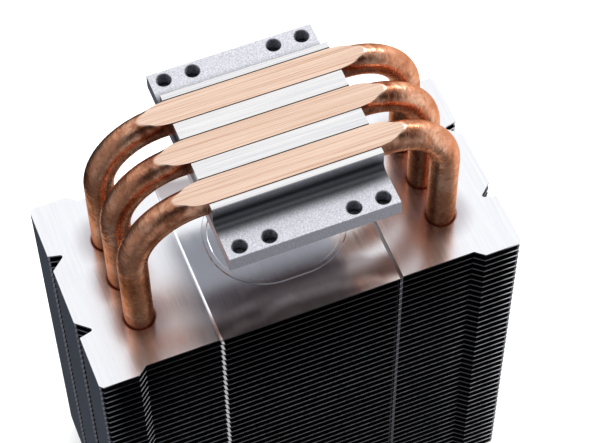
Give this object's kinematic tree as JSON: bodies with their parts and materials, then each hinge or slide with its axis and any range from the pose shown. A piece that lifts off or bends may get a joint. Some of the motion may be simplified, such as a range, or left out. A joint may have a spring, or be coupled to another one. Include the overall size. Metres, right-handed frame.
{
  "type": "cpu tower cooler",
  "caption": "Tower heat sink: stepped metal base with flattened copper heat pipes through a stack of thin notched fins.",
  "frame": {"origin": "on the floor, under the middle of the base and of the fin stack, with the cooler standing on its pipe tips", "axes": "+Z out of the contact face (away from the fins), +X along the pipes in the base, +Y across them along the air flow"},
  "size_m": [0.09, 0.046, 0.126],
  "materials": {
    "base_aluminium": "machined, fine grain",
    "copper": "bare copper, brushed",
    "sintered_copper": "sintered powder, matt",
    "fin_aluminium": "bright rolled sheet"
  },
  "bodies": {
    "root": {"base_block": "base_aluminium", "heat_pipe_1": "copper", "heat_pipe_2": "copper", "heat_pipe_3": "copper", "wick_1": "sintered_copper", "wick_2": "sintered_copper", "wick_3": "sintered_copper", "fin_01": "fin_aluminium", "fin_02": "fin_aluminium", "fin_03": "fin_aluminium", "fin_04": "fin_aluminium", "fin_05": "fin_aluminium", "fin_06": "fin_aluminium", "fin_07": "fin_aluminium", "fin_08": "fin_aluminium", "fin_09": "fin_aluminium", "fin_10": "fin_aluminium", "fin_11": "fin_aluminium", "fin_12": "fin_aluminium", "fin_13": "fin_aluminium", "fin_14": "fin_aluminium", "fin_15": "fin_aluminium", "fin_16": "fin_aluminium", "fin_17": "fin_aluminium", "fin_18": "fin_aluminium", "fin_19": "fin_aluminium", "fin_20": "fin_aluminium", "fin_21": "fin_aluminium", "fin_22": "fin_aluminium", "fin_23": "fin_aluminium", "fin_24": "fin_aluminium", "fin_25": "fin_aluminium", "fin_26": "fin_aluminium", "fin_27": "fin_aluminium", "fin_28": "fin_aluminium", "fin_29": "fin_aluminium", "fin_30": "fin_aluminium", "fin_31": "fin_aluminium", "fin_32": "fin_aluminium", "fin_33": "fin_aluminium", "fin_34": "fin_aluminium", "fin_35": "fin_aluminium", "fin_36": "fin_aluminium", "fin_37": "fin_aluminium", "fin_38": "fin_aluminium", "fin_39": "fin_aluminium", "fin_40": "fin_aluminium", "fin_41": "fin_aluminium", "fin_42": "fin_aluminium", "fin_43": "fin_aluminium"}
  },
  "joints": []
}
